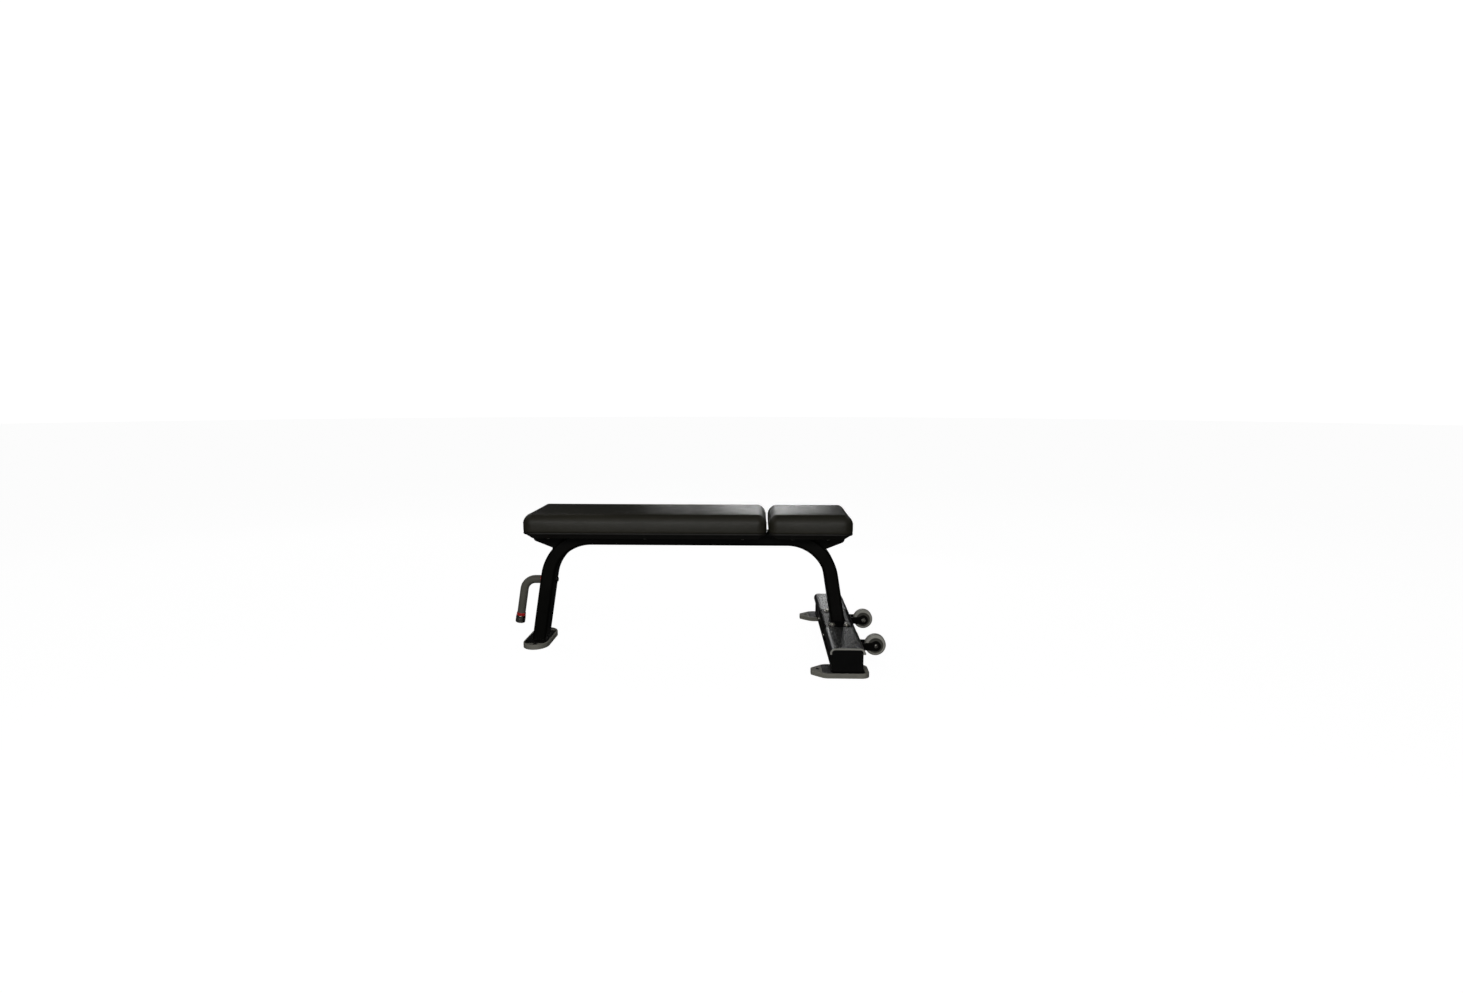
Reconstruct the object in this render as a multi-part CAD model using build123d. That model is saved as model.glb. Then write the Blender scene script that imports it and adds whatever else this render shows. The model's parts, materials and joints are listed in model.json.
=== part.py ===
"""Flat weight bench: two pads on one bent steel frame, with a front foot, a rear crossbar,
two transport wheels and a carrying handle.

Millimetres, +Z up. X runs along the bench: the handle is at -X (front), the wheels at +X
(rear). Left is -Y and right is +Y. The origin is on the floor, under the middle of the box
that holds the whole bench.
"""
from build123d import *
import math
import os

os.makedirs("parts", exist_ok=True)

SIDES = (("left", -1), ("right", 1))
HOLE_GAP = 0.3                 # radial room of a clearance hole

# Pads
PAD_TOP = 445.0                # height of the flat top
PAD_WIDTH = 295.0
PAD_CORNER = 31.0              # plan corner radius
LONG_PAD_X = (-537.0, 230.8)
SHORT_PAD_X = (237.0, 500.6)
CREASE_INSET = 21.5            # the flat top stops this far inside the side
SIDE_TOP = 420.5               # where the upright side turns in towards the top
CUSHION_BASE = 387.5
BOARD_BASE = 380.5
BOARD_THICKNESS = 12.0
BOARD_INSET = 8.0
PAN_RIM_BASE = 381.0
PAN_BOTTOM = 366.0
PAN_BEVEL = 28.0               # inset of the pan's flat bottom
PAN_WALL = 2.5
CHANNEL_HALF = 50.0            # half width of the channel that the frame lies in
CHANNEL_ROOF = 378.0

# Main frame: one rounded rectangular tube bent to an upside-down U
TUBE_DEPTH = 80.0              # along Y
TUBE_THICK = 44.0              # across the tube in side view
TUBE_CORNER = 9.0
TUBE_WALL = 2.5
TUBE_TOP = 374.5
BEND_RADIUS = 146.0            # of the centreline
CORNER_X = (-464.2, 423.6)     # where the legs' centrelines would meet the beam's
SPLAY = 9.0                    # degrees that each leg leans out

# Pad brackets: straps across the frame, with ears under the pans
STRAP = 3.0
BRACKET_WIDTH = 40.0
BRACKET_HALF_INNER = 41.0
BRACKET_HALF_LENGTH = 101.0
PAD_BOLT_Y = 90.0
PAD_BOLT_HEAD = 5.5
LONG_BOLT_X = (-464.0, -156.0, 155.0)
SHORT_BOLT_X = (314.0, 426.0)

# Gussets between the bends and the ends of the pads
GUSSET_HALF = 30.0
GUSSET_WALL = 3.0
GUSSET_START = 46.0            # from the bend's centre towards the end of the pad
GUSSET_NOSE = 30.0             # depth at the end of the pad
GUSSET_DEPTH = 86.0            # depth at its start

# Front foot
FRONT_FOOT_X = -520.0
FRONT_FOOT_WIDTH = 84.0
FRONT_FOOT_HALF_LENGTH = 110.0
FRONT_FOOT_STRAIGHT = 55.0     # half length of the straight sides
FRONT_PLATE_HALF = 74.0        # half length of the steel plate
FRONT_HOLE_Y = 83.0
FOOT_HEIGHT = 15.0
FOOT_FLOOR = 6.0               # rubber under the steel plate
FOOT_RIM = 5.0                 # rubber round the steel plate
TIP_FLOOR = 11.5               # the sunk flat at each tip of the front foot
PLATE_TOP = 14.0
ANCHOR_HOLE = 3.3              # radius of the floor-anchor holes, in steel eyelets
EYELET_RADIUS = 5.5

# Crossbar
BAR_X = 465.7
BAR_WIDTH = 92.0
BAR_TOP = 80.0
BAR_CORNER = 10.0
BAR_WALL = 3.0
BAR_HALF_LENGTH = 345.8
END_CAP = 4.0
COVER = 5.0                    # thickness of the light-metal covers
COVER_CORNER = 14.5
COVER_EDGE = 66.0              # the covers reach down to here
SADDLE_HALF = 115.0
SADDLE_EDGE = 42.0
SADDLE_BOLT_X = (442.7, 488.7)
SADDLE_BOLT_Y = 90.0
SIDE_SCREW_Y = 100.0
SIDE_SCREW_Z = 55.0
SIDE_SCREW_RADIUS = 2.5

# Rear feet
REAR_FOOT_Y = 316.0
REAR_FOOT_HALF_WIDTH = 46.5
REAR_FOOT_X = (360.2, 529.7)
REAR_HOLE_X = 379.7
REAR_PLATE_X = (392.0, 517.0)

# Transport wheels
WHEEL_X = 571.0
WHEEL_Y = 156.0
WHEEL_Z = 42.5
WHEEL_RADIUS = 32.6
TYRE_HALF_WIDTH = 15.0
RIM_RADIUS = 24.0
HUB_HALF_WIDTH = 16.8
BUSH_RADIUS = 7.0
AXLE_RADIUS = 4.0
FORK_HALF_INNER = 18.0
FORK_PLATE = 4.0
FORK_END_RADIUS = 15.5
FORK_SCREW_Z = (30.0, 52.0)
FORK_SCREW = 3.0

# Handle
HANDLE_Z = 208.7
HANDLE_CORNER_X = -565.5
HANDLE_BEND = 39.0
HANDLE_CORE = 10.0
HANDLE_BOLT = 5.0
GRIP_RADIUS = 13.4
LEG_COLLAR_RADIUS = 12.6
COLLAR_RADIUS = 14.8
CAP_RADIUS = 15.7
HANDLE_END_Z = 62.0

LEAN = math.radians(SPLAY)
TUBE_MID_Z = TUBE_TOP - TUBE_THICK / 2
BEND_Z = TUBE_MID_Z - BEND_RADIUS
BEND_SETBACK = BEND_RADIUS * math.tan(math.radians((90 - SPLAY) / 2))
BEND_X = (CORNER_X[0] + BEND_SETBACK, CORNER_X[1] - BEND_SETBACK)
SADDLE_TOP = BAR_TOP + COVER
BAR_SIDE_X = BAR_X + BAR_WIDTH / 2
REAR_PLATE_MIDDLE = (REAR_PLATE_X[0] + REAR_PLATE_X[1]) / 2
REAR_PLATE_LENGTH = REAR_PLATE_X[1] - REAR_PLATE_X[0]


def save(name, shape):
    """Write one node."""
    export_step(shape, f"parts/{name}.step")


def block(x_range, y_range, z_range):
    """A plain block between two corners."""
    size = [high - low for low, high in (x_range, y_range, z_range)]
    middle = [(high + low) / 2 for low, high in (x_range, y_range, z_range)]
    return Pos(*middle) * Box(*size)


def upright(x, y, z_range, radius):
    """A cylinder along Z."""
    height = z_range[1] - z_range[0]
    return Pos(x, y, (z_range[0] + z_range[1]) / 2) * Cylinder(radius, height)


def crosswise(x, z, y_range, radius):
    """A cylinder along Y."""
    length = abs(y_range[1] - y_range[0])
    middle = (y_range[0] + y_range[1]) / 2
    return Pos(x, middle, z) * Rot(90, 0, 0) * Cylinder(radius, length)


# ---------------------------------------------------------------- main frame

def leg_x(sign, z):
    """Centreline of a leg at a height: sign -1 is the front leg, 1 the rear."""
    corner = CORNER_X[0] if sign < 0 else CORNER_X[1]
    return corner + sign * (TUBE_MID_Z - z) * math.tan(LEAN)


def main_frame_tube():
    """The bent tube, cut level at the foot plate and at the saddle."""
    spare = 40.0
    front_z = PLATE_TOP - spare
    rear_z = SADDLE_TOP - spare
    path = FilletPolyline(
        (leg_x(-1, front_z), 0, front_z),
        (leg_x(-1, TUBE_MID_Z), 0, TUBE_MID_Z),
        (leg_x(1, TUBE_MID_Z), 0, TUBE_MID_Z),
        (leg_x(1, rear_z), 0, rear_z),
        radius=BEND_RADIUS,
    )
    start = Plane(origin=path @ 0, x_dir=(0, 1, 0), z_dir=path % 0)
    outer = start * RectangleRounded(TUBE_DEPTH, TUBE_THICK, TUBE_CORNER)
    inner_depth = TUBE_DEPTH - 2 * TUBE_WALL
    inner_thick = TUBE_THICK - 2 * TUBE_WALL
    inner = start * RectangleRounded(inner_depth, inner_thick, TUBE_CORNER - TUBE_WALL)
    tube = sweep(outer, path=path) - sweep(inner, path=path)
    tube -= block((-700, -300), (-60, 60), (-60, PLATE_TOP))
    tube -= block((300, 700), (-60, 60), (-60, SADDLE_TOP))
    hole = Pos(leg_x(-1, HANDLE_Z), 0, HANDLE_Z) * Rot(0, 90, 0)
    return tube - hole * Cylinder(HANDLE_BOLT + HOLE_GAP, 80)


def leg_block(depth):
    """The room that the front leg fills beside the handle."""
    place = Plane(origin=(leg_x(-1, HANDLE_Z), 0, HANDLE_Z), z_dir=(math.sin(LEAN), 0, math.cos(LEAN)))
    return place * Box(TUBE_THICK + 0.04, depth, 90)


def gusset(sign, bend_x, end_x):
    """A folded channel from the outside of a bend to the end of a pad."""
    start_x = bend_x + sign * GUSSET_START
    outer_radius = BEND_RADIUS + TUBE_THICK / 2
    nose = (end_x, TUBE_TOP - GUSSET_NOSE)
    start = (start_x, TUBE_TOP - GUSSET_DEPTH)
    profile = Polygon((start_x, TUBE_TOP), (end_x, TUBE_TOP), nose, start, align=None)
    solid = extrude(Plane.XZ * profile, GUSSET_HALF, both=True)
    solid -= crosswise(bend_x, BEND_Z, (-60, 60), outer_radius)
    bends = solid.edges().filter_by(Axis.Y)
    corner = bends.sort_by_distance(Vector(nose[0], 0, nose[1]))[0]
    solid = fillet(corner, 14)
    room = offset(profile, -GUSSET_WALL, kind=Kind.INTERSECTION)
    hollow = extrude(Plane.XZ * room, GUSSET_HALF - GUSSET_WALL, both=True)
    top = TUBE_TOP - GUSSET_WALL - 1
    x_pair = sorted((start_x - sign * 5, end_x - sign * GUSSET_WALL))
    slot = block(x_pair, (-GUSSET_HALF + GUSSET_WALL, GUSSET_HALF - GUSSET_WALL), (top, TUBE_TOP + 5))
    return solid - hollow - slot


def pad_bracket(x):
    """A strap over the frame with an ear on each side under the pan."""
    top = TUBE_TOP + STRAP
    ear = PAN_BOTTOM - STRAP
    inner = BRACKET_HALF_INNER
    outer = inner + STRAP
    reach = BRACKET_HALF_LENGTH
    half = [
        (0, top), (outer, top), (outer, PAN_BOTTOM), (reach, PAN_BOTTOM),
        (reach, ear), (inner, ear), (inner, TUBE_TOP), (0, TUBE_TOP),
    ]
    other = [(-y, z) for y, z in reversed(half)]
    profile = Polygon(*half, *other[1:-1], align=None)
    strap = extrude(Plane.YZ.offset(x) * profile, BRACKET_WIDTH / 2, both=True)
    for side in (-1, 1):
        strap -= upright(x, side * PAD_BOLT_Y, (ear - 1, top), AXLE_RADIUS + HOLE_GAP)
    tips = strap.edges().filter_by(Axis.Z).group_by(Axis.Y)
    return fillet(tips[0] + tips[-1], 8)


# ---------------------------------------------------------------- pads

def pad_face(x_range, inset, z):
    """The pad's plan outline, drawn in by inset, at a height."""
    length = x_range[1] - x_range[0] - 2 * inset
    middle = (x_range[0] + x_range[1]) / 2
    outline = RectangleRounded(length, PAD_WIDTH - 2 * inset, PAD_CORNER - inset)
    return Pos(middle, 0, z) * outline


def pad_layer(x_range, inset, z_range):
    """A slab of the pad's outline."""
    return extrude(pad_face(x_range, inset, z_range[0]), z_range[1] - z_range[0])


def cushion(x_range):
    """Foam in vinyl: upright sides, then a slope in to the flat top, glued over the board."""
    side = pad_layer(x_range, 0, (CUSHION_BASE, SIDE_TOP))
    slope = loft([pad_face(x_range, 0, SIDE_TOP), pad_face(x_range, CREASE_INSET, PAD_TOP)])
    pocket = pad_layer(x_range, BOARD_INSET, (BOARD_BASE, BOARD_BASE + BOARD_THICKNESS))
    return side + slope - pocket


def board(x_range, bolt_x):
    """Plywood base of a pad, drilled for tee nuts."""
    top = BOARD_BASE + BOARD_THICKNESS
    slab = pad_layer(x_range, BOARD_INSET, (BOARD_BASE, top))
    for x in bolt_x:
        for side in (-1, 1):
            slab -= upright(x, side * PAD_BOLT_Y, (BOARD_BASE - 1, top + 1), 5.1)
            slab -= upright(x, side * PAD_BOLT_Y, (top - 1.5, top + 1), 10.1)
    return slab


def tee_nuts(bolt_x):
    """Tee nuts let into the top of a board."""
    top = BOARD_BASE + BOARD_THICKNESS
    nuts = []
    for x in bolt_x:
        for side in (-1, 1):
            nut = upright(x, side * PAD_BOLT_Y, (top - 9, top), 5.0)
            nut += upright(x, side * PAD_BOLT_Y, (top - 1.5, top), 10.0)
            nuts.append(nut - upright(x, side * PAD_BOLT_Y, (top - 20, top + 1), AXLE_RADIUS))
    return Compound(nuts)


def pad_bolts(bolt_x):
    """Button-head bolts up through the ears and the pan into the tee nuts."""
    head_top = PAN_BOTTOM - STRAP
    bolts = []
    for x in bolt_x:
        for side in (-1, 1):
            head = upright(x, side * PAD_BOLT_Y, (head_top - 3.2, head_top), PAD_BOLT_HEAD)
            head = fillet(head.edges().sort_by(Axis.Z)[0], 1.8)
            recess = Pos(x, side * PAD_BOLT_Y, head_top - 3.3) * RegularPolygon(2.2, 6)
            head -= extrude(recess, 2)
            shank = upright(x, side * PAD_BOLT_Y, (head_top - 1, BOARD_BASE + 10), AXLE_RADIUS - 0.1)
            bolts.append(head + shank)
    return Compound(bolts)


def pan(x_range, bolt_x, channel_x):
    """Moulded tray under a pad: a bead at its rim, a bevel, and a channel for the frame."""
    rim = pad_layer(x_range, 0.5, (PAN_RIM_BASE, CUSHION_BASE))
    rim = fillet(rim.faces().sort_by(Axis.Z)[0].edges(), 4.0)
    rim = fillet(rim.faces().sort_by(Axis.Z)[-1].edges(), 1.2)
    bevel = loft([pad_face(x_range, 3, PAN_RIM_BASE + 2), pad_face(x_range, PAN_BEVEL, PAN_BOTTOM)])
    floor = PAN_BOTTOM + PAN_WALL
    well = loft([pad_face(x_range, 6, PAN_RIM_BASE), pad_face(x_range, PAN_BEVEL + 1, floor)])
    tray = rim + bevel - well - pad_layer(x_range, 6, (PAN_RIM_BASE, CUSHION_BASE + 1))
    outer = CHANNEL_HALF + PAN_WALL
    wide = sorted((channel_x[0], channel_x[1]))
    lined = (max(wide[0] - PAN_WALL, x_range[0] + 8), min(wide[1] + PAN_WALL, x_range[1] - 8))
    tray += block(lined, (-outer, outer), (PAN_BOTTOM + 0.5, BOARD_BASE))
    tray -= block(wide, (-CHANNEL_HALF, CHANNEL_HALF), (PAN_BOTTOM - 2, CHANNEL_ROOF))
    for x in bolt_x:
        for side in (-1, 1):
            tray -= upright(x, side * PAD_BOLT_Y, (PAN_BOTTOM - 1, floor + 1), AXLE_RADIUS + HOLE_GAP)
    return tray


# ---------------------------------------------------------------- front foot

def front_outline(shrink):
    """Straight sides with half-ellipse ends."""
    half_width = FRONT_FOOT_WIDTH / 2 - shrink
    reach = FRONT_FOOT_HALF_LENGTH - FRONT_FOOT_STRAIGHT - shrink
    outline = Rectangle(2 * half_width, 2 * FRONT_FOOT_STRAIGHT)
    for side in (-1, 1):
        outline += Pos(0, side * FRONT_FOOT_STRAIGHT) * Ellipse(half_width, reach)
    return Pos(FRONT_FOOT_X, 0) * outline


def front_plate_outline(gap):
    """The part of the foot's inside that the steel plate fills."""
    return front_outline(FOOT_RIM + gap) & Pos(FRONT_FOOT_X, 0) * Rectangle(200, 2 * (FRONT_PLATE_HALF - gap))


def front_foot_boot():
    """Rubber boot round the plate, with finely ribbed sides and a sunk flat at each tip."""
    boot = extrude(front_outline(0), FOOT_HEIGHT)
    boot = fillet(boot.faces().sort_by(Axis.Z)[-1].edges(), 2.0)
    boot -= Pos(0, 0, TIP_FLOOR) * extrude(front_outline(FOOT_RIM), 10)
    boot -= Pos(0, 0, FOOT_FLOOR) * extrude(front_plate_outline(0), 20)
    ribs = 26
    first = -FRONT_FOOT_STRAIGHT - 5
    pitch = -2 * first / ribs
    for index in range(ribs + 1):
        y = first + index * pitch
        for side in (-1, 1):
            edge = FRONT_FOOT_X + side * FRONT_FOOT_WIDTH / 2
            boot -= block((edge - 0.9, edge + 0.9), (y - 1, y + 1), (2, FOOT_HEIGHT - 2.5))
    for side in (-1, 1):
        boot -= upright(FRONT_FOOT_X, side * FRONT_HOLE_Y, (-1, FOOT_HEIGHT), EYELET_RADIUS + 0.1)
    return boot


def front_foot_plate():
    """Steel plate that the front leg is welded to."""
    return Pos(0, 0, FOOT_FLOOR) * extrude(front_plate_outline(0.1), PLATE_TOP - FOOT_FLOOR)


def eyelet(x, y, top):
    """Steel bush that lines a floor-anchor hole, with a thin flange on top."""
    bush = upright(x, y, (0.5, top), EYELET_RADIUS) + upright(x, y, (top, top + 0.6), 6.5)
    return bush - upright(x, y, (-1, top + 2), ANCHOR_HOLE)


# ---------------------------------------------------------------- rear feet

def rear_outline(side, shrink):
    """A long foot that narrows to a blunt tip towards the front."""
    half = REAR_FOOT_HALF_WIDTH - shrink
    tip = REAR_FOOT_X[0] + shrink
    back = REAR_FOOT_X[1] - shrink
    shoulder = REAR_FOOT_X[0] + 38
    points = [(tip, -12), (shoulder, -half), (back, -half)]
    points += [(x, -y) for x, y in reversed(points)]
    outline = Pos(0, side * REAR_FOOT_Y) * Polygon(*points, align=None)
    corners = outline.vertices().sort_by(Axis.X)
    outline = fillet(corners[4:], 24 - shrink)
    outline = fillet(outline.vertices().sort_by(Axis.X)[2:4], 30)
    return fillet(outline.vertices().sort_by(Axis.X)[:2], 8)


def rear_plate_outline(side, gap):
    """The part of the foot's inside that the steel plate fills."""
    window = Rectangle(REAR_PLATE_LENGTH - 2 * gap, 200)
    return rear_outline(side, FOOT_RIM + gap) & Pos(REAR_PLATE_MIDDLE, side * REAR_FOOT_Y) * window


def rear_foot_boot(side):
    """Rubber boot with a pocket for the plate and a groove round its wall."""
    boot = extrude(rear_outline(side, 0), PLATE_TOP)
    boot = fillet(boot.faces().sort_by(Axis.Z)[-1].edges(), 2.0)
    band = rear_outline(side, -2) - rear_outline(side, 0.6)
    boot -= Pos(0, 0, 4) * extrude(band, 1.2)
    boot -= Pos(0, 0, FOOT_FLOOR) * extrude(rear_plate_outline(side, 0), 20)
    return boot - upright(REAR_HOLE_X, side * REAR_FOOT_Y, (-1, PLATE_TOP + 1), EYELET_RADIUS + 0.1)


def rear_foot_plate(side):
    """Steel plate under the end of the crossbar."""
    return Pos(0, 0, FOOT_FLOOR) * extrude(rear_plate_outline(side, 0.1), PLATE_TOP - FOOT_FLOOR)


# ---------------------------------------------------------------- crossbar

def bar_section(width, top, bottom, top_corner, bottom_corner):
    """A box section in side view with its own top and bottom corner radii."""
    sketch = Pos(BAR_X, (top + bottom) / 2) * Rectangle(width, top - bottom)
    corners = sketch.vertices().sort_by(Axis.Y)
    sketch = fillet(corners[2:], top_corner)
    if bottom_corner:
        sketch = fillet(sketch.vertices().sort_by(Axis.Y)[:2], bottom_corner)
    return sketch


def crossbar_tube():
    """Rectangular steel tube across the rear."""
    half = BAR_HALF_LENGTH - END_CAP
    outer = bar_section(BAR_WIDTH, BAR_TOP, PLATE_TOP, BAR_CORNER, 3)
    inner = bar_section(
        BAR_WIDTH - 2 * BAR_WALL, BAR_TOP - BAR_WALL, PLATE_TOP + BAR_WALL, BAR_CORNER - BAR_WALL, 0.5
    )
    tube = extrude(Plane.XZ * (outer - inner), half, both=True)
    for x in SADDLE_BOLT_X:
        for side in (-1, 1):
            tube -= upright(x, side * SADDLE_BOLT_Y, (BAR_TOP - 10, BAR_TOP + 1), 7.1)
    for _, side in SIDES:
        for z in FORK_SCREW_Z:
            tube -= fork_screw_hole(side, z, FORK_SCREW + HOLE_GAP)
        for end in (-1, 1):
            tube -= side_screw_hole(end, side, SIDE_SCREW_RADIUS)
    return tube


def end_cap(side):
    """Plug that closes one end of the crossbar, with its face flush with the covers."""
    face = bar_section(BAR_WIDTH, BAR_TOP, PLATE_TOP, BAR_CORNER, 3)
    plug = bar_section(BAR_WIDTH - 8, BAR_TOP - 4, PLATE_TOP + 4, 6, 2)
    hollow = bar_section(BAR_WIDTH - 14, BAR_TOP - 7, PLATE_TOP + 7, 4, 2)
    inner_y = side * (BAR_HALF_LENGTH - END_CAP)
    toward = -side                              # Plane.XZ faces -Y
    cap = Pos(0, inner_y, 0) * extrude(Plane.XZ * face, toward * END_CAP)
    cap += Pos(0, inner_y, 0) * extrude(Plane.XZ * (plug - hollow), -toward * 18)
    outer_face = cap.faces().sort_by(Axis.Y)[-1 if side > 0 else 0]
    return fillet(outer_face.edges(), 1.0)


def wrap_profile(edge_z):
    """A skin over the top and upper sides of the crossbar."""
    outer = bar_section(BAR_WIDTH + 2 * COVER, SADDLE_TOP, edge_z, COVER_CORNER, 0)
    inner = bar_section(BAR_WIDTH, BAR_TOP, edge_z - 1, COVER_CORNER - COVER, 0)
    return outer - inner


def grip_cover(side):
    """Extruded light-metal cover, ribbed lengthwise, with rows of punched dimples."""
    profile = wrap_profile(COVER_EDGE)
    lip_x = BAR_SIDE_X + COVER
    profile += Pos(lip_x + 1, COVER_EDGE + 2) * Rectangle(3, 4)
    groove_x = [-40, -34, -24, -11, -5.5, 0, 5.5, 11, 24, 34, 40]
    for x in groove_x:
        profile -= Pos(BAR_X + x, SADDLE_TOP) * Circle(0.7)
    length = BAR_HALF_LENGTH - SADDLE_HALF - 0.5
    start_y = side * (SADDLE_HALF + 0.5)
    cover = Pos(0, start_y, 0) * extrude(Plane.XZ * profile, -side * length)
    rows = ((-29, 0), (-17.5, 0.5), (17.5, 0), (29, 0.5))
    count = 6
    pitch = length / count
    for x, shift in rows:
        for index in range(count):
            y = start_y + side * pitch * (index + 0.3 + shift)
            cover -= upright(BAR_X + x, y, (SADDLE_TOP - 2, SADDLE_TOP + 1), 3.0)
    return cover


def saddle_bracket():
    """Smooth steel saddle over the middle of the crossbar, which the rear leg is welded to."""
    saddle = extrude(Plane.XZ * wrap_profile(SADDLE_EDGE), SADDLE_HALF, both=True)
    for x in SADDLE_BOLT_X:
        for side in (-1, 1):
            saddle -= upright(x, side * SADDLE_BOLT_Y, (BAR_TOP - 1, SADDLE_TOP + 1), 5.3)
    for end in (-1, 1):
        for side in (-1, 1):
            saddle -= side_screw_hole(end, side, SIDE_SCREW_RADIUS + HOLE_GAP)
    return saddle


def side_screw_hole(end, side, radius):
    """A hole across one side of the saddle and the crossbar."""
    place = Pos(BAR_X + end * BAR_WIDTH / 2, side * SIDE_SCREW_Y, SIDE_SCREW_Z)
    return place * Rot(0, 90, 0) * Cylinder(radius, 30)


def saddle_side_screws():
    """Four screws through the sides of the saddle into the crossbar."""
    screws = []
    for end in (-1, 1):
        outside = BAR_X + end * (BAR_WIDTH / 2 + COVER)
        for side in (-1, 1):
            place = Pos(outside, side * SIDE_SCREW_Y, SIDE_SCREW_Z) * Rot(0, end * 90, 0)
            head = Pos(0, 0, 1.3) * Cylinder(4.8, 2.6)
            head = fillet(head.edges().sort_by(Axis.Z)[-1], 1.4)
            head -= Pos(0, 0, 1.4) * extrude(RegularPolygon(1.7, 6), 3)
            screws.append(place * (head + Pos(0, 0, -6) * Cylinder(SIDE_SCREW_RADIUS, 13)))
    return Compound(screws)


def saddle_bolts():
    """Four button-head bolts down through the saddle."""
    bolts = []
    for x in SADDLE_BOLT_X:
        for side in (-1, 1):
            y = side * SADDLE_BOLT_Y
            head = upright(x, y, (SADDLE_TOP + 1.5, SADDLE_TOP + 6.5), 8.0)
            head = fillet(head.edges().sort_by(Axis.Z)[-1], 3.0)
            recess = Pos(x, y, SADDLE_TOP + 4) * RegularPolygon(3.2, 6)
            head -= extrude(recess, 5)
            bolts.append(head + upright(x, y, (BAR_TOP - 16, SADDLE_TOP + 2), 5.0))
    return Compound(bolts)


def saddle_washers():
    """One washer under each saddle bolt."""
    rings = []
    for x in SADDLE_BOLT_X:
        for side in (-1, 1):
            ring = upright(x, side * SADDLE_BOLT_Y, (SADDLE_TOP, SADDLE_TOP + 1.5), 10.0)
            rings.append(ring - upright(x, side * SADDLE_BOLT_Y, (SADDLE_TOP - 1, SADDLE_TOP + 3), 5.3))
    return Compound(rings)


def saddle_rivet_nuts():
    """Rivet nuts set in the top wall of the crossbar."""
    nuts = []
    for x in SADDLE_BOLT_X:
        for side in (-1, 1):
            nut = upright(x, side * SADDLE_BOLT_Y, (BAR_TOP - 14, BAR_TOP), 7.0)
            nut += upright(x, side * SADDLE_BOLT_Y, (BAR_TOP - 7, BAR_TOP - BAR_WALL), 9.0)
            nuts.append(nut - upright(x, side * SADDLE_BOLT_Y, (BAR_TOP - 20, BAR_TOP + 1), 5.1))
    return Compound(nuts)


# ---------------------------------------------------------------- transport wheels

def fork_screw_hole(side, z, radius):
    """A hole through the rear wall of the crossbar for a fork screw."""
    return Pos(BAR_SIDE_X, side * WHEEL_Y, z) * Rot(0, 90, 0) * Cylinder(radius, 20)


def wheel_fork(side):
    """Folded steel fork: a back plate on the crossbar and two arms with round ends."""
    arm = Pos((BAR_SIDE_X + WHEEL_X) / 2, WHEEL_Z - 2.5) * Rectangle(WHEEL_X - BAR_SIDE_X, 23)
    arm += Pos(WHEEL_X, WHEEL_Z) * Circle(FORK_END_RADIUS)
    arm = fillet(arm.vertices().sort_by(Axis.X)[2:4], 9)
    arm -= Pos(WHEEL_X, WHEEL_Z) * Circle(AXLE_RADIUS + HOLE_GAP)
    reach = FORK_HALF_INNER + FORK_PLATE
    fork = extrude(Plane.XZ * arm, reach, both=True)
    fork -= block((BAR_SIDE_X - 1, 620), (-FORK_HALF_INNER, FORK_HALF_INNER), (0, 100))
    fork += block((BAR_SIDE_X, BAR_SIDE_X + FORK_PLATE), (-reach, reach), (22, 60))
    fork = Pos(0, side * WHEEL_Y, 0) * fork
    for z in FORK_SCREW_Z:
        fork -= fork_screw_hole(side, z, FORK_SCREW + HOLE_GAP)
    return fork


def fork_screws(side):
    """Two screws that hold a fork to the crossbar."""
    screws = []
    for z in FORK_SCREW_Z:
        centre = Pos(BAR_SIDE_X + FORK_PLATE, side * WHEEL_Y, z) * Rot(0, 90, 0)
        head = centre * Pos(0, 0, 1.7) * Cylinder(5.5, 3.4)
        head = fillet(head.edges().sort_by(Axis.X)[-1], 1.6)
        shank = centre * Pos(0, 0, -9) * Cylinder(FORK_SCREW, 18.2)
        screws.append(head + shank)
    return Compound(screws)


def turned(profile, side):
    """Turn a (radius, offset) profile about a wheel's axle."""
    plane = Plane(origin=(WHEEL_X, side * WHEEL_Y, WHEEL_Z), x_dir=(0, 0, 1), z_dir=(1, 0, 0))
    axis = Axis((WHEEL_X, side * WHEEL_Y, WHEEL_Z), (0, 1, 0))
    return revolve(plane * profile, axis, 360)


def ring_profile(inner, outer, half_width):
    """A rectangle between two radii."""
    return Pos((inner + outer) / 2, 0) * Rectangle(outer - inner, 2 * half_width)


def wheel_tyre(side):
    """Grey tyre with a rounded tread and one step in each side wall."""
    profile = ring_profile(RIM_RADIUS, WHEEL_RADIUS, TYRE_HALF_WIDTH)
    tread = profile.vertices().sort_by(Axis.X)[-2:]
    profile = fillet(tread, 7)
    for edge in (-TYRE_HALF_WIDTH, TYRE_HALF_WIDTH):
        profile -= Pos(RIM_RADIUS + 2, edge) * Circle(0.7)
    return turned(profile, side)


def wheel_hub(side):
    """Moulded hub: rim, thin web and boss."""
    profile = ring_profile(RIM_RADIUS - 4, RIM_RADIUS - 0.02, TYRE_HALF_WIDTH - 1)
    profile += ring_profile(11, RIM_RADIUS - 3, 8)
    profile += ring_profile(BUSH_RADIUS + 0.02, 12, HUB_HALF_WIDTH)
    return turned(profile, side)


def wheel_bushes(side):
    """A sleeve bush in each end of the hub."""
    pair = []
    for end in (-1, 1):
        sleeve = ring_profile(AXLE_RADIUS + 0.05, BUSH_RADIUS, 7)
        pair.append(turned(Pos(0, end * (HUB_HALF_WIDTH - 7)) * sleeve, side))
    return Compound(pair)


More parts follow.
